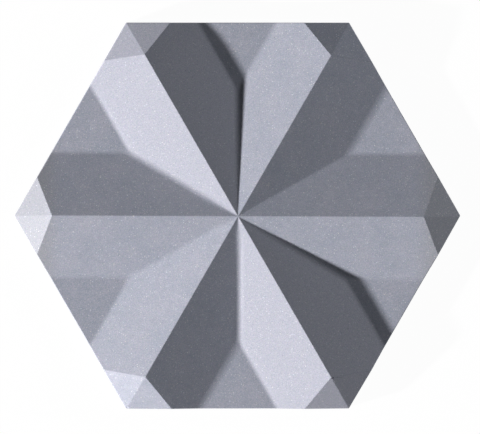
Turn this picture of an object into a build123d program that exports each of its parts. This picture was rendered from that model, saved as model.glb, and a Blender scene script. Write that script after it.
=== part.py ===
from build123d import *
import math
import os

# A six-sided wall tile, cast in one piece from fine cement mortar. It lies face up on its flat back.
# Six low gabled arms run from the centre to the corners, each with a level ridge. Beside the middle
# of each side is a flat triangle. Neighbouring arms meet in valleys that fall from the centre to the
# inner tip of that triangle. The inside folds are rounded, and the ridges are sharp. Each arm ends in
# two small facets that fall to its corner.
# The origin is the centre of the back, +Z is out of the face, and one corner points along +X.
# Millimetres and degrees.

# Outline and thickness
corners = 6
corner_distance = 150.0     # centre to a corner, in plan
flat_thickness = 13.0       # back to the flat triangles
corner_thickness = 13.0     # back to the face at a corner

# Arms
relief = 17.0               # ridge above the flat triangles
arm_half_width = 42.25      # ridge to the foot of the arm, in plan
ridge_inset = 25.1          # corner to the outer end of the ridge, in plan
facet_leg = 30.1            # corner to the far end of its small facet, along the side

# Inside folds
valley_radius = 7.8         # where two arms meet
foot_radius = 9.2           # where an arm meets a flat triangle

# Points nearer than this count as one
touching = 0.001

sector = 360.0 / corners
half_sector = sector / 2
slope = relief / arm_half_width
ridge_height = flat_thickness + relief
ridge_end_distance = corner_distance - ridge_inset


def towards(azimuth):
    """Unit vector in plan at an azimuth."""
    angle = math.radians(azimuth)
    return Vector(math.cos(angle), math.sin(angle), 0)


def level(height):
    """Point above the centre of the back."""
    return Vector(0, 0, height)


def blank():
    """The tile's outline, taller than the finished face."""
    outline = RegularPolygon(corner_distance, corners, rotation=0)
    return extrude(outline, 2 * ridge_height)


def arm_side(ridge, downhill):
    """Plane of the side of the arm at the azimuth ridge that falls towards the azimuth downhill."""
    normal = level(1) + towards(downhill) * slope
    return Plane(origin=level(ridge_height), x_dir=towards(ridge), z_dir=normal)


def hollow(middle):
    """What is above the flat triangle at the azimuth middle and the arms either side of it."""
    width = 3 * corner_distance
    above_flat = Box(width, width, 2 * ridge_height, align=(Align.CENTER, Align.CENTER, Align.MIN))
    shape = Pos(0, 0, flat_thickness) * Rot(0, 0, middle) * above_flat
    for turn in (-1, 1):
        ridge = middle + turn * half_sector
        shape = split(shape, bisect_by=arm_side(ridge, ridge - turn * 90), keep=Keep.TOP)
    return shape


def round_folds(shape, middle):
    """Rounds the two feet and then the valley of a hollow. They meet at the tip of its triangle."""
    tip_distance = arm_half_width / math.sin(math.radians(half_sector))
    tip = towards(middle) * tip_distance + level(flat_thickness)
    feet = [
        edge
        for edge in shape.edges()
        if edge.distance_to(tip) < touching and edge.bounding_box().size.Z < touching
    ]
    shape = fillet(feet, foot_radius)
    across = towards(middle + 90)
    valley = [
        edge
        for edge in shape.edges().filter_by(GeomType.LINE)
        if abs((edge @ 0).dot(across)) < touching and abs((edge @ 1).dot(across)) < touching
    ]
    return fillet(valley, valley_radius)


def corner_facet(corner, turn):
    """Plane of the small facet at the azimuth corner, on its turn side.

    It passes through the end of the ridge, the corner and a point where the side of the arm meets
    the outline.
    """
    ridge_end = towards(corner) * ridge_end_distance + level(ridge_height)
    tile_corner = towards(corner) * corner_distance + level(corner_thickness)
    corner_half_angle = 90 - half_sector
    along_side = towards(corner + turn * (180 - corner_half_angle))
    from_ridge = facet_leg * math.sin(math.radians(corner_half_angle))
    on_side = towards(corner) * corner_distance + along_side * facet_leg
    facet_end = on_side + level(ridge_height - slope * from_ridge)
    normal = (tile_corner - ridge_end).cross(facet_end - ridge_end) * turn
    return Plane(origin=ridge_end, x_dir=tile_corner - ridge_end, z_dir=normal)


def tile():
    """The whole tile as one solid."""
    body = blank()
    for number in range(corners):
        middle = (number + 0.5) * sector
        body -= round_folds(hollow(middle), middle)
    for number in range(corners):
        for turn in (-1, 1):
            body = split(body, bisect_by=corner_facet(number * sector, turn), keep=Keep.BOTTOM)
    return body.solid()


os.makedirs("parts", exist_ok=True)
export_step(tile(), "parts/tile.step")
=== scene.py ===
import math
from collections import namedtuple

import bmesh
import bpy
from mathutils import Matrix, Vector


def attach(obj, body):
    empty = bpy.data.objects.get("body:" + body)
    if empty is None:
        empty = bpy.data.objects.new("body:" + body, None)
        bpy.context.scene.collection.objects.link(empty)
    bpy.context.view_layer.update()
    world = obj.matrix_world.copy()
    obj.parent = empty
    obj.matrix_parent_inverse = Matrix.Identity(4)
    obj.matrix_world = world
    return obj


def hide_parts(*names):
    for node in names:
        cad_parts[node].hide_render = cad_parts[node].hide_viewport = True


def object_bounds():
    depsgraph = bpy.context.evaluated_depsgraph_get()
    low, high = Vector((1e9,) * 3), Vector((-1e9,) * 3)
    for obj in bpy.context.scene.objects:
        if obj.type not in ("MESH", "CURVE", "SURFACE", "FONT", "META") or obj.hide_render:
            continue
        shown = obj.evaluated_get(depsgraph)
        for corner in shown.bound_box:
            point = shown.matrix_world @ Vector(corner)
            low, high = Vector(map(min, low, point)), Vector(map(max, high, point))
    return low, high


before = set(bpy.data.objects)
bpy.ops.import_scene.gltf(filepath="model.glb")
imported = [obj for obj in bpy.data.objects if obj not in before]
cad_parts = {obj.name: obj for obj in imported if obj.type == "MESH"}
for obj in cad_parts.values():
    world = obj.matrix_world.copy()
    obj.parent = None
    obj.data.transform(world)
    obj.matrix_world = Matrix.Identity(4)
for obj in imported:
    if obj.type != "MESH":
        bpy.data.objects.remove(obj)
cad_low, cad_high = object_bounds()

# The tile: one casting of microcement, a fine cement mortar, poured into a mould that gives it the
# relief. The mould leaves crisp ridges, soft inside folds and a matt skin with fine pale sand in it.
# The flat back is smoothed with a trowel while the mortar is wet, and is glued to the wall.
mm = 0.001
sides = 6
sector = 360 / sides
corner_distance = cad_high.x
side_distance = corner_distance * math.cos(math.radians(sector / 2))
flat_thickness = 13 * mm
corner_thickness = 13 * mm
relief = 17 * mm
arm_half_width = 42.25 * mm
ridge_height = flat_thickness + relief
slope = relief / arm_half_width
valley_end = arm_half_width / math.sin(math.radians(sector / 2))

# The casting is a little uneven. For each arm, counted from +X: how far its ridge is turned, in
# degrees, the distance from its ridge to its left and right foot, half the width of the rounding
# there, and where its corner facets begin on the ridge and on the outline
Arm = namedtuple("Arm", "turned feet foot_reaches ridge_inset facet_leg")
arms = (
    Arm(-0.22, (41.95 * mm, 42.25 * mm), (1.6 * mm, 1.6 * mm), 25.2 * mm, 30.3 * mm),
    Arm(0, (42.45 * mm, 44.2 * mm), (1.6 * mm, 3.2 * mm), 25.3 * mm, 30.4 * mm),
    Arm(0, (42.25 * mm, 41.9 * mm), (1.6 * mm, 1.6 * mm), 24.6 * mm, 29.5 * mm),
    Arm(-0.22, (42.0 * mm, 42.1 * mm), (1.6 * mm, 1.6 * mm), 25.1 * mm, 30.1 * mm),
    Arm(0, (43.6 * mm, 42.25 * mm), (3.2 * mm, 1.6 * mm), 25.4 * mm, 30.6 * mm),
    Arm(0, (41.5 * mm, 42.25 * mm), (1.6 * mm, 1.6 * mm), 25.0 * mm, 30.0 * mm),
)

# Where two feet meet, at the tip of a flat triangle, the rounding of one passes into that of the
# other over this distance
foot_blend = 3.2 * mm

# The third ridge falls a little over its last stretch, by this much at its end
falling_arm = 2
ridge_fall = 0.85 * mm
fall_length = 20.4 * mm
fall_strips = 6

# Half the width in plan of the rounding of each valley, counted from the one left of +X, and of the
# ridges. A valley's rounding narrows to nothing over the last of its way to the centre. The mesh is
# cut into strips as far as valley_spread beside a valley, and across each foot and each sharp edge
valley_reaches = (1.1 * mm, 2.4 * mm, 2.7 * mm, 2.35 * mm, 2.1 * mm, 2.9 * mm)
valley_spread = 3.5 * mm
valley_taper = 12 * mm
ridge_reach = 0.35 * mm
fold_strips = 12
arris_strips = 4

# Roundings round the outline: the upright corners, the edge of the face and the edge of the back
corner_radius = 0.9 * mm
face_edge_radius = 0.5 * mm
back_edge_radius = 0.3 * mm

# Just above these folds the mould is a little steeper, which catches the light as a pale line. For
# each: the number of the arm, its side, 1 for left and -1 for right, the azimuth of the fold, how far
# left of the centre the fold passes, where the strip starts and ends along it, and the depth. The
# strip is steepest at a distance from the fold and fades out at its ends
Strip = namedtuple("Strip", "arm turn azimuth distance start end depth")
steeper_strips = (
    Strip(5, -1, 270, 0, 12 * mm, valley_end, 0.24 * mm),
    Strip(4, -1, 210, 0, 12 * mm, valley_end, 0.14 * mm),
    Strip(2, 1, 300, -arm_half_width, -125 * mm, -66 * mm, 0.13 * mm),
    Strip(5, -1, 300, -arm_half_width, 66 * mm, 125 * mm, 0.08 * mm),
)
steepest_at = 2.6 * mm
steeper_half_width = 2.4 * mm
steeper_fade = 12 * mm
steeper_cuts = 6

# Small damage: two pits where the sixth ridge ends, and the broken tip of the fifth corner. For each:
# its distance from the centre, azimuth, length along +X, half width and depth. The mesh is finer
# round each, out to a few of its half widths
Pit = namedtuple("Pit", "distance azimuth length half_width depth")
pits = (
    Pit(125.6 * mm, 300.2, 1.0 * mm, 0.55 * mm, 0.75 * mm),
    Pit(127.2 * mm, 301.4, 3.6 * mm, 0.4 * mm, 0.3 * mm),
    Pit(149.6 * mm, 240.0, 0.5 * mm, 1.1 * mm, 0.9 * mm),
)
pit_strips = 8
pit_spread = 4


def towards(azimuth):
    """Unit vector in plan."""
    return Vector((math.cos(math.radians(azimuth)), math.sin(math.radians(azimuth)), 0))


def ridge_azimuth(number):
    """Azimuth of the ridge of an arm."""
    return number * sector + arms[number].turned


def soft_max(one, other, reach):
    """The larger of two heights, rounded where they differ by less than reach."""
    if reach <= 0:
        return max(one, other)
    return max(one, other) + max(reach - abs(one - other), 0) ** 2 / (4 * reach)


def falling(point, number):
    """How much the fall of its ridge lowers the side of an arm, down to nothing at the foot."""
    if number != falling_arm:
        return 0
    arm = arms[number]
    off_ridge = point.dot(towards(ridge_azimuth(number) + 90))
    foot = arm.feet[0] if off_ridge > 0 else arm.feet[1]
    to_go = corner_distance - arm.ridge_inset - point.dot(towards(ridge_azimuth(number)))
    share = min(max(1 - to_go / fall_length, 0), 1)
    return ridge_fall * share ** 2 * max(1 - abs(off_ridge) / foot, 0)


def corner_facet(number, turn):
    """One of the two small facets of an arm: the end of the ridge, its own far end and its normal."""
    arm = arms[number]
    foot = arm.feet[0] if turn > 0 else arm.feet[1]
    ridge = ridge_azimuth(number)
    corner = towards(number * sector) * corner_distance
    ridge_end = towards(ridge) * (corner_distance - arm.ridge_inset)
    ridge_end.z = ridge_height - falling(ridge_end, number)
    far_end = corner + towards(number * sector + turn * 2 * sector) * arm.facet_leg
    far_end.z = ridge_height - relief / foot * abs(far_end.dot(towards(ridge + 90)))
    far_end.z -= falling(far_end, number)
    tip = corner + Vector((0, 0, corner_thickness))
    normal = (tip - ridge_end).cross(far_end - ridge_end) * turn
    return ridge_end, far_end, normal.normalized()


corner_facets = [corner_facet(number, turn) for number in range(sides) for turn in (-1, 1)]
corners = [towards(number * sector) for number in range(sides)]
side_normals = [towards((number + 0.5) * sector) for number in range(sides)]
arc_centre = corner_distance - corner_radius / math.cos(math.radians(sector / 2))


def inside_outline(point):
    """Distance in plan from a point to the outline, with its rounded corners."""
    inside = min(side_distance - point.dot(normal) for normal in side_normals)
    for corner in corners:
        from_arc = Vector((point.x, point.y, 0)) - corner * arc_centre
        if from_arc.length > 0 and from_arc.angle(corner) < math.radians(sector / 2):
            inside = corner_radius - from_arc.length
    return max(inside, 0)


def steepening(point, number, turn):
    """How much lower one side of an arm lies below its steeper strip."""
    depth = 0
    for strip in steeper_strips:
        if (strip.arm, strip.turn) == (number, turn):
            along = point.dot(towards(strip.azimuth))
            off = point.dot(towards(strip.azimuth + 90)) - strip.distance
            share = min(max((off - steepest_at) / steeper_half_width, -1), 1)
            if strip.start < along < strip.end and share < 1:
                fade = min((along - strip.start) / steeper_fade, (strip.end - along) / steeper_fade, 1)
                depth += strip.depth * fade * (1 - share - math.sin(math.pi * share) / math.pi) / 2
    return depth


def pitting(point):
    """How deep the damage is."""
    depth = 0
    for pit in pits:
        from_start = Vector((point.x, point.y, 0)) - towards(pit.azimuth) * pit.distance
        from_start.x -= min(max(from_start.x, 0), pit.length)
        share = from_start.length / pit.half_width
        if share < 1:
            depth += pit.depth * (1 - share ** 2)
    return depth


def arm_sides(point):
    """Heights of the sides of the arms over a point, the highest first, each with its foot's reach."""
    heights = []
    for number, arm in enumerate(arms):
        ridge = ridge_azimuth(number)
        if point.dot(towards(ridge)) >= 0:
            off_ridge = point.dot(towards(ridge + 90))
            turn, hand = (1, 0) if off_ridge > 0 else (-1, 1)
            below_ridge = abs(off_ridge)
            if below_ridge < ridge_reach:
                below_ridge = below_ridge ** 2 / (2 * ridge_reach) + ridge_reach / 2
            height = ridge_height - relief / arm.feet[hand] * below_ridge
            height -= steepening(point, number, turn) + falling(point, number)
            heights.append((height, arm.foot_reaches[hand]))
    return sorted(heights, reverse=True)


def face_height(point):
    """Height of the decorated face over a point in plan."""
    (highest, first_reach), (next_highest, second_reach) = arm_sides(point)[:2]
    valley = int(math.degrees(math.atan2(point.y, point.x)) % 360 // sector) % sides
    taper = min(math.hypot(point.x, point.y) / valley_taper, 1)
    valley_soft = 2 * slope * math.sin(math.radians(sector)) * valley_reaches[valley] * taper
    height = soft_max(highest, next_highest, valley_soft)
    share = min(0.5 + (highest - next_highest) / (slope * foot_blend), 1)
    foot_soft = slope * (first_reach * share + second_reach * (1 - share))
    height = soft_max(height, flat_thickness, foot_soft)
    for ridge_end, far_end, normal in corner_facets:
        fall = (point.x - ridge_end.x) * normal.x + (point.y - ridge_end.y) * normal.y
        facet_height = ridge_end.z - fall / normal.z
        height = -soft_max(-height, -facet_height, slope * ridge_reach)
    height -= pitting(point)
    inside = inside_outline(point)
    if inside < face_edge_radius:
        height -= face_edge_radius - math.sqrt(face_edge_radius ** 2 - (face_edge_radius - inside) ** 2)
    return height


def cut(mesh, azimuth, offset, faces=None):
    """Cuts faces along the upright plane that faces an azimuth, at an offset from the centre."""
    merge_distance = 0.001 * mm
    faces = mesh.faces[:] if faces is None else faces
    edges = dict.fromkeys(edge for face in faces for edge in face.edges)
    vertices = dict.fromkeys(vertex for face in faces for vertex in face.verts)
    bmesh.ops.bisect_plane(
        mesh,
        geom=[*faces, *edges, *vertices],
        dist=merge_distance,
        plane_co=towards(azimuth) * offset,
        plane_no=towards(azimuth),
    )


def faces_near(mesh, place, reach):
    """Faces with a corner within reach of a place."""
    return [
        face for face in mesh.faces if any((vertex.co - place).length < reach for vertex in face.verts)
    ]


def faces_towards(mesh, azimuth):
    """Faces in the half of the tile that an azimuth points to."""
    return [face for face in mesh.faces if face.calc_center_median().dot(towards(azimuth)) > 0]


# The outline, flat at first, with its upright corners rounded and rings of faces along its edge
tile_mesh = bmesh.new()
turned_blank = Matrix.Rotation(math.radians(sector / 2), 4, "Z")
bmesh.ops.create_circle(
    tile_mesh, cap_ends=True, radius=corner_distance, segments=sides, matrix=turned_blank,
)
bmesh.ops.bevel(
    tile_mesh,
    geom=tile_mesh.verts[:],
    offset=corner_radius * math.tan(math.radians(sector / 2)),
    segments=arris_strips,
    profile=0.5,
    affect="VERTICES",
    material=-1,
)
reached = 0
for strip in range(1, arris_strips + 1):
    inset = face_edge_radius * (1 - math.cos(math.pi / 2 * strip / arris_strips))
    middle = max(tile_mesh.faces, key=lambda face: face.calc_area())
    bmesh.ops.inset_region(
        tile_mesh, faces=[middle], thickness=inset - reached, use_boundary=True, use_even_offset=True,
    )
    reached = inset

# Cuts along the ridges and the valleys, the feet of the arms, the fall of the third ridge, the corner
# facets, the steeper strips and the damage
for number in range(sides // 2):
    for strip in range(-arris_strips, arris_strips + 1):
        cut(tile_mesh, ridge_azimuth(number) + 90, ridge_reach * strip / arris_strips)
    for strip in range(-fold_strips // 2, fold_strips // 2 + 1):
        cut(tile_mesh, number * sector + sector / 2 + 90, valley_spread * 2 * strip / fold_strips)

for number, arm in enumerate(arms):
    ridge = ridge_azimuth(number)
    for turn, foot, reach in zip((1, -1), arm.feet, arm.foot_reaches):
        for strip in range(-fold_strips // 2, fold_strips // 2 + 1):
            off = foot + reach * 2 * strip / fold_strips
            cut(tile_mesh, ridge + 90 * turn, off, faces_towards(tile_mesh, ridge))

for strip in range(fall_strips):
    place = corner_distance - arms[falling_arm].ridge_inset - fall_length * (1 - strip / fall_strips)
    cut(tile_mesh, falling_arm * sector, place, faces_towards(tile_mesh, falling_arm * sector))

for ridge_end, far_end, normal in corner_facets:
    along = far_end - ridge_end
    across = math.degrees(math.atan2(along.y, along.x)) + 90
    outward = math.degrees(math.atan2(ridge_end.y, ridge_end.x))
    for strip in (-1, 0, 1):
        off = ridge_end.dot(towards(across)) + strip * ridge_reach
        cut(tile_mesh, across, off, faces_towards(tile_mesh, outward))

for steeper in steeper_strips:
    outward = steeper.azimuth if steeper.start > 0 else steeper.azimuth + 180
    for strip in range(-steeper_cuts // 2, steeper_cuts // 2 + 1):
        off = steeper.distance + steepest_at + steeper_half_width * 2 * strip / steeper_cuts
        cut(tile_mesh, steeper.azimuth + 90, off, faces_towards(tile_mesh, outward))
    for place in (
        steeper.start, steeper.start + steeper_fade, steeper.end - steeper_fade, steeper.end,
    ):
        cut(tile_mesh, steeper.azimuth, place, faces_towards(tile_mesh, outward))

for pit in pits:
    spot = towards(pit.azimuth) * pit.distance + Vector((pit.length / 2, 0, 0))
    spread = pit.length + pit_spread * pit.half_width
    for strip in range(-pit_strips, pit_strips + 1):
        share = strip / (pit_strips - 1)
        across = spot.y + pit.half_width * share
        cut(tile_mesh, 90, across, faces_near(tile_mesh, spot, spread))
        along = spot.x + (pit.length / 2 + pit.half_width) * share
        cut(tile_mesh, 0, along, faces_near(tile_mesh, spot, spread))

# The face is raised to its relief, and faces that still lie in one plane are joined again
bmesh.ops.triangulate(tile_mesh, faces=tile_mesh.faces[:])
for vertex in tile_mesh.verts:
    vertex.co.z = face_height(vertex.co)
flat_angle = math.radians(0.05)
bmesh.ops.dissolve_limit(
    tile_mesh, angle_limit=flat_angle, verts=tile_mesh.verts[:], edges=tile_mesh.edges[:],
)

# The edges of the tile and its back
rim = [edge for edge in tile_mesh.edges if edge.is_boundary]
copied = bmesh.ops.duplicate(tile_mesh, geom=rim)["geom"]
for part in copied:
    if isinstance(part, bmesh.types.BMVert):
        part.co.z = 0
back_rim = [part for part in copied if isinstance(part, bmesh.types.BMEdge)]
bmesh.ops.bridge_loops(tile_mesh, edges=rim + back_rim)
bmesh.ops.holes_fill(tile_mesh, edges=back_rim)
bmesh.ops.dissolve_limit(
    tile_mesh, angle_limit=flat_angle, verts=tile_mesh.verts[:], edges=tile_mesh.edges[:],
)
bmesh.ops.recalc_face_normals(tile_mesh, faces=tile_mesh.faces[:])
bmesh.ops.bevel(
    tile_mesh,
    geom=[edge for edge in tile_mesh.edges if all(vertex.co.z == 0 for vertex in edge.verts)],
    offset=back_edge_radius,
    segments=arris_strips,
    profile=0.5,
    affect="EDGES",
    material=-1,
)

tile_data = bpy.data.meshes.new("microcement_tile")
tile_mesh.to_mesh(tile_data)
tile_mesh.free()
tile = bpy.data.objects.new("microcement_tile", tile_data)
bpy.context.scene.collection.objects.link(tile)


def linear(colour):
    """Linear colour of an sRGB hex value."""
    levels = [int(colour[place:place + 2], 16) / 255 for place in (1, 3, 5)]
    linear_levels = [
        level / 12.92 if level <= 0.04045 else ((level + 0.055) / 1.055) ** 2.4 for level in levels
    ]
    return linear_levels + [1]


def add_node(tree, kind, settings=(), inputs=()):
    """Adds a node, with its settings, and with values or links for its inputs by name or number."""
    node = tree.nodes.new(kind)
    for name, value in dict(settings).items():
        setattr(node, name, value)
    for name, value in dict(inputs).items():
        if isinstance(value, bpy.types.NodeSocket):
            tree.links.new(value, node.inputs[name])
        else:
            node.inputs[name].default_value = value
    return node


# Numbers of the sockets of a Mix node that mixes colours
first_colour, second_colour, mixed_colour = 6, 7, 2


def clouds(tree, place):
    """Broad clouds, bluer or warmer, and small faint ones where the mortar dried a little paler."""
    broad_size = 18 * mm
    small_size = 4 * mm
    small_strength = 0.07
    broad = add_node(
        tree, "ShaderNodeTexNoise",
        inputs={"Vector": place, "Scale": 1 / broad_size, "Detail": 2.0, "Roughness": 0.5},
    )
    small = add_node(
        tree, "ShaderNodeTexNoise",
        inputs={"Vector": place, "Scale": 1 / small_size, "Detail": 1.0, "Roughness": 0.5},
    )
    toned = add_node(
        tree, "ShaderNodeMix", {"data_type": "RGBA"},
        {
            "Factor": broad.outputs["Fac"],
            first_colour: linear("#8B919F"),
            second_colour: linear("#9C9DAA"),
        },
    )
    clouded = add_node(
        tree, "ShaderNodeMix", {"data_type": "RGBA", "blend_type": "OVERLAY"},
        {
            "Factor": small_strength,
            first_colour: toned.outputs[mixed_colour],
            second_colour: small.outputs["Fac"],
        },
    )
    return clouded.outputs[mixed_colour]


def painted_corner_light(tree, place_x, on_face, colour):
    """Painted light: a little darker and less blue towards the first and the fourth corner, to match
    how the lamp lights their facets; the less blue tint stands in for the washed-out highlight on the
    fourth corner, which faces the lamp.
    """
    plain_from = 119 * mm
    plain_to = 130 * mm
    far_out = add_node(tree, "ShaderNodeMath", {"operation": "ABSOLUTE"}, {0: place_x})
    plain = add_node(
        tree, "ShaderNodeMapRange",
        inputs={
            "Value": far_out.outputs[0],
            "From Min": plain_from,
            "From Max": plain_to,
            "To Max": on_face,
        },
    )
    cornered = add_node(
        tree, "ShaderNodeMix", {"data_type": "RGBA"},
        {"Factor": plain.outputs[0], first_colour: colour, second_colour: linear("#90929B")},
    )
    return cornered.outputs[mixed_colour]


def painted_light_arms(tree, place, on_face, colour):
    """Painted light: the pair of arms from the third corner to the sixth is made paler on both sides,
    standing in for the stronger light on their sides that face the lamp.
    """
    pale_ridge = 2 * sector
    along_ridge = add_node(
        tree, "ShaderNodeVectorMath", {"operation": "DOT_PRODUCT"},
        {0: place, 1: towards(pale_ridge)},
    )
    off_ridge = add_node(
        tree, "ShaderNodeVectorMath", {"operation": "DOT_PRODUCT"},
        {0: place, 1: towards(pale_ridge + 90)},
    )
    far_along = add_node(
        tree, "ShaderNodeMath", {"operation": "ABSOLUTE"}, {0: along_ridge.outputs["Value"]},
    )
    far_off = add_node(
        tree, "ShaderNodeMath", {"operation": "ABSOLUTE"}, {0: off_ridge.outputs["Value"]},
    )
    to_valley = add_node(
        tree, "ShaderNodeMath", {"operation": "MULTIPLY"},
        {0: far_along.outputs[0], 1: math.tan(math.radians(sector / 2))},
    )
    edge_of_arm = add_node(
        tree, "ShaderNodeMath", {"operation": "MINIMUM"},
        {0: to_valley.outputs[0], 1: arm_half_width},
    )
    on_arm = add_node(
        tree, "ShaderNodeMath", {"operation": "LESS_THAN"},
        {0: far_off.outputs[0], 1: edge_of_arm.outputs[0]},
    )
    painted_light_share = add_node(
        tree, "ShaderNodeMath", {"operation": "MULTIPLY"}, {0: on_arm.outputs[0], 1: on_face},
    )
    shaded = add_node(
        tree, "ShaderNodeMix", {"data_type": "RGBA"},
        {"Factor": painted_light_share.outputs[0], first_colour: colour, second_colour: linear("#9B9DAA")},
    )
    return shaded.outputs[mixed_colour]


def fine_grain(tree, grain, colour):
    """Cement and the finest sand, nearly grey."""
    grain_strength = 0.54
    grain_tint = 0.35
    grey_grain = add_node(
        tree, "ShaderNodeMix", {"data_type": "RGBA"},
        {
            "Factor": grain_tint,
            first_colour: grain.outputs["Fac"],
            second_colour: grain.outputs["Color"],
        },
    )
    grained = add_node(
        tree, "ShaderNodeMix", {"data_type": "RGBA", "blend_type": "OVERLAY"},
        {
            "Factor": grain_strength,
            first_colour: colour,
            second_colour: grey_grain.outputs[mixed_colour],
        },
    )
    return grained.outputs[mixed_colour]


def pale_sand(tree, place, colour):
    """Pale grains of sand, warmer or bluer, most of them faint. Radii are shares of the spacing."""
    sand_spacing = 1.3 * mm
    solid_radius = 0.15
    outer_radius = 0.28
    rarity = 3.0
    sand = add_node(
        tree, "ShaderNodeTexVoronoi", inputs={"Vector": place, "Scale": 1 / sand_spacing},
    )
    drawn = add_node(tree, "ShaderNodeSeparateColor", inputs={"Color": sand.outputs["Color"]})
    round_grain = add_node(
        tree, "ShaderNodeMapRange",
        inputs={
            "Value": sand.outputs["Distance"],
            "From Min": solid_radius,
            "From Max": outer_radius,
            "To Min": 1.0,
            "To Max": 0.0,
        },
    )
    paleness = add_node(
        tree, "ShaderNodeMath", {"operation": "POWER"}, {0: drawn.outputs["Red"], 1: rarity},
    )
    shown = add_node(
        tree, "ShaderNodeMath", {"operation": "MULTIPLY"},
        {0: round_grain.outputs[0], 1: paleness.outputs[0]},
    )
    tint = add_node(
        tree, "ShaderNodeMix", {"data_type": "RGBA"},
        {
            "Factor": drawn.outputs["Green"],
            first_colour: linear("#D6D0C8"),
            second_colour: linear("#C9D2E2"),
        },
    )
    sanded = add_node(
        tree, "ShaderNodeMix", {"data_type": "RGBA"},
        {
            "Factor": shown.outputs[0],
            first_colour: colour,
            second_colour: tint.outputs[mixed_colour],
        },
    )
    return sanded.outputs[mixed_colour]


def painted_pore_shade(tree, place, colour):
    """A few open pores, drawn as dark points of painted shade in the holes. Radii are shares of the
    spacing.
    """
    pore_spacing = 5 * mm
    solid_radius = 0.05
    outer_radius = 0.09
    pore_strength = 0.4
    closed_share = 0.8
    pore = add_node(
        tree, "ShaderNodeTexVoronoi", inputs={"Vector": place, "Scale": 1 / pore_spacing},
    )
    drawn = add_node(tree, "ShaderNodeSeparateColor", inputs={"Color": pore.outputs["Color"]})
    round_pore = add_node(
        tree, "ShaderNodeMapRange",
        inputs={
            "Value": pore.outputs["Distance"],
            "From Min": solid_radius,
            "From Max": outer_radius,
            "To Min": pore_strength,
            "To Max": 0.0,
        },
    )
    is_open = add_node(
        tree, "ShaderNodeMath", {"operation": "GREATER_THAN"},
        {0: drawn.outputs["Red"], 1: closed_share},
    )
    shown = add_node(
        tree, "ShaderNodeMath", {"operation": "MULTIPLY"},
        {0: round_pore.outputs[0], 1: is_open.outputs[0]},
    )
    pored = add_node(
        tree, "ShaderNodeMix", {"data_type": "RGBA"},
        {"Factor": shown.outputs[0], first_colour: colour, second_colour: linear("#3C3D44")},
    )
    return pored.outputs[mixed_colour]


def microcement():
    """Matt cement skin, grey with a blue cast, cloudy over a centimetre, full of fine pale sand."""
    material = bpy.data.materials.new("microcement_skin")
    material.use_nodes = True
    tree = material.node_tree
    tree.nodes.clear()
    place = add_node(tree, "ShaderNodeTexCoord").outputs["Object"]
    place_parts = add_node(tree, "ShaderNodeSeparateXYZ", inputs={"Vector": place})

    # The painted light towards two corners and on two arms is on the decorated face only, and fades out
    # down the edges of the tile
    fade_from = 6 * mm
    on_face = add_node(
        tree, "ShaderNodeMapRange",
        inputs={
            "Value": place_parts.outputs["Z"],
            "From Min": fade_from,
            "From Max": flat_thickness,
        },
    ).outputs[0]

    # Grain too fine to tell apart is drawn as coarse as one point of the picture
    grain_size = 0.6 * mm
    grain_depth = 0.03 * mm
    grain = add_node(
        tree, "ShaderNodeTexNoise",
        inputs={"Vector": place, "Scale": 1 / grain_size, "Detail": 1.0, "Roughness": 0.7},
    )
    colour = clouds(tree, place)
    colour = painted_corner_light(tree, place_parts.outputs["X"], on_face, colour)
    colour = painted_light_arms(tree, place, on_face, colour)
    colour = fine_grain(tree, grain, colour)
    colour = pale_sand(tree, place, colour)
    colour = painted_pore_shade(tree, place, colour)
    bump = add_node(
        tree, "ShaderNodeBump",
        inputs={"Height": grain.outputs["Fac"], "Strength": 1.0, "Distance": grain_depth},
    )
    shader = add_node(
        tree, "ShaderNodeBsdfPrincipled",
        inputs={
            "Base Color": colour,
            "Roughness": 0.7,
            "IOR": 1.45,
            "Normal": bump.outputs["Normal"],
        },
    )
    add_node(tree, "ShaderNodeOutputMaterial", inputs={"Surface": shader.outputs["BSDF"]})
    return material


tile.data.materials.append(microcement())
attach(tile, "root")
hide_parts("tile")

# The floor: a plain white sheet round the tile, that keeps a faint trace of its shadow. It is clear
# from below and cut out under the tile, so that the back of the tile can be lit and looked at.
floor_radius = 20
floor_gap = 0.1 * mm
floor_lap = 1 * mm
glow_share = 0.97
floor_mesh = bmesh.new()
bmesh.ops.create_circle(
    floor_mesh,
    cap_ends=False,
    radius=corner_distance - floor_lap,
    segments=sides,
    matrix=turned_blank,
)
outer_rim = bmesh.ops.extrude_edge_only(floor_mesh, edges=floor_mesh.edges[:])["geom"]
outer_corners = [part for part in outer_rim if isinstance(part, bmesh.types.BMVert)]
outwards = Vector((1, 1, 1)) * floor_radius / corner_distance
bmesh.ops.scale(floor_mesh, vec=outwards, verts=outer_corners)
bmesh.ops.translate(floor_mesh, vec=Vector((0, 0, -floor_gap)), verts=floor_mesh.verts[:])
floor_mesh.normal_update()
bmesh.ops.reverse_faces(floor_mesh, faces=[face for face in floor_mesh.faces if face.normal.z < 0])
floor_data = bpy.data.meshes.new("floor")
floor_mesh.to_mesh(floor_data)
floor_mesh.free()
floor = bpy.data.objects.new("floor", floor_data)
bpy.context.scene.collection.objects.link(floor)
white = bpy.data.materials.new("white_sheet")
white.use_nodes = True
sheet = white.node_tree
sheet.nodes.clear()
paper = add_node(sheet, "ShaderNodeBsdfDiffuse", inputs={"Color": linear("#F2F2F4")})
glow = add_node(sheet, "ShaderNodeEmission", inputs={"Color": linear("#FFFFFF"), "Strength": 1.0})
rays = add_node(sheet, "ShaderNodeLightPath")
seen = add_node(
    sheet, "ShaderNodeMath", {"operation": "MAXIMUM"},
    {0: rays.outputs["Is Camera Ray"], 1: rays.outputs["Is Glossy Ray"]},
)
lift = add_node(
    sheet, "ShaderNodeMath", {"operation": "MULTIPLY"}, {0: seen.outputs[0], 1: glow_share},
)
lifted = add_node(
    sheet, "ShaderNodeMixShader",
    inputs={"Fac": lift.outputs[0], 1: paper.outputs[0], 2: glow.outputs[0]},
)
side_seen = add_node(sheet, "ShaderNodeNewGeometry")
clear = add_node(sheet, "ShaderNodeBsdfTransparent")
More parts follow.
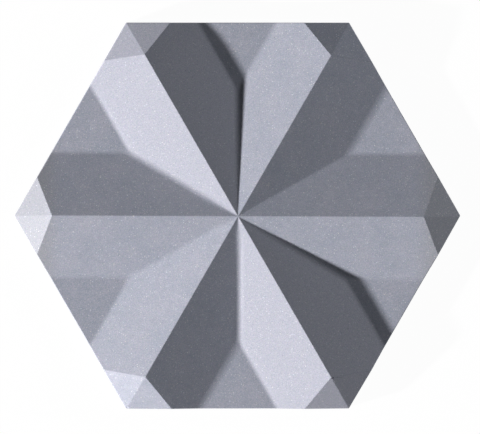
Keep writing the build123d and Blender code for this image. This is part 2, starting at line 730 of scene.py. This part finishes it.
one_sided = add_node(
    sheet, "ShaderNodeMixShader",
    inputs={"Fac": side_seen.outputs["Backfacing"], 1: lifted.outputs[0], 2: clear.outputs[0]},
)
add_node(sheet, "ShaderNodeOutputMaterial", inputs={"Surface": one_sided.outputs[0]})
floor.data.materials.append(white)

# The light: a small lamp low on the left, that rakes across the relief, a card on the right that throws
# a little of it back into the shade, and a lamp under the sheet that lights only the back of the tile.
# Elevations are in degrees, and distances and widths in metres.


def aimed_lamp(name, azimuth, elevation, distance, watts, colour, width):
    """A round lamp that faces the middle of the tile."""
    lamp = bpy.data.lights.new(name, "AREA")
    lamp.shape = "DISK"
    lamp.size = width
    lamp.energy = watts
    lamp.color = linear(colour)[:3]
    stand = bpy.data.objects.new(name, lamp)
    bpy.context.scene.collection.objects.link(stand)
    out = towards(azimuth) * math.cos(math.radians(elevation))
    out.z = math.sin(math.radians(elevation))
    stand.location = out * distance
    stand.rotation_euler = out.to_track_quat("Z", "Y").to_euler()


aimed_lamp(
    "raking_lamp", azimuth=199.2, elevation=18.15, distance=5, watts=650, colour="#FFFDFB", width=0.18,
)
aimed_lamp(
    "bounce_card", azimuth=20, elevation=24, distance=2, watts=16.1, colour="#FCFEFF", width=0.42,
)
aimed_lamp(
    "back_lamp", azimuth=200, elevation=-75, distance=2, watts=26, colour="#FFFFFF", width=0.5,
)

# The room adds next to no light, and is white where the camera sees it
world = bpy.data.worlds.new("studio")
world.use_nodes = True
surroundings = world.node_tree
surroundings.nodes.clear()
dim = add_node(
    surroundings, "ShaderNodeBackground", inputs={"Color": linear("#FFFFFF"), "Strength": 0.01},
)
bright = add_node(
    surroundings, "ShaderNodeBackground", inputs={"Color": linear("#FFFFFF"), "Strength": 1.0},
)
world_rays = add_node(surroundings, "ShaderNodeLightPath")
split = add_node(
    surroundings, "ShaderNodeMixShader",
    inputs={"Fac": world_rays.outputs["Is Camera Ray"], 1: dim.outputs[0], 2: bright.outputs[0]},
)
add_node(surroundings, "ShaderNodeOutputWorld", inputs={"Surface": split.outputs[0]})
bpy.context.scene.world = world

# The camera: far above the tile with a long lens, a little up and to the left of upright, and aimed
# just beside the middle of the tile. A pixel is the width of one point of the picture at the tile.
picture_pixels = 480
tile_pixels = 445.4
pixel = 2 * corner_distance / tile_pixels
picture_width = picture_pixels * pixel
lean_azimuth = 130
lean = math.radians(1.7)
aim = Vector((2.5 * pixel, -1.45 * pixel, 9 * mm))
camera_data = bpy.data.cameras.new("camera")
camera_data.lens = 600
camera_data.sensor_width = 36
camera_distance = picture_width * camera_data.lens / camera_data.sensor_width
camera_data.clip_end = 2 * camera_distance
camera = bpy.data.objects.new("camera", camera_data)
bpy.context.scene.collection.objects.link(camera)
leaning = Matrix.Rotation(lean, 4, towards(lean_azimuth + 90))
camera.matrix_world = Matrix.Translation(aim + leaning @ Vector((0, 0, camera_distance))) @ leaning
bpy.context.scene.camera = camera
bpy.context.scene.view_settings.view_transform = "Standard"
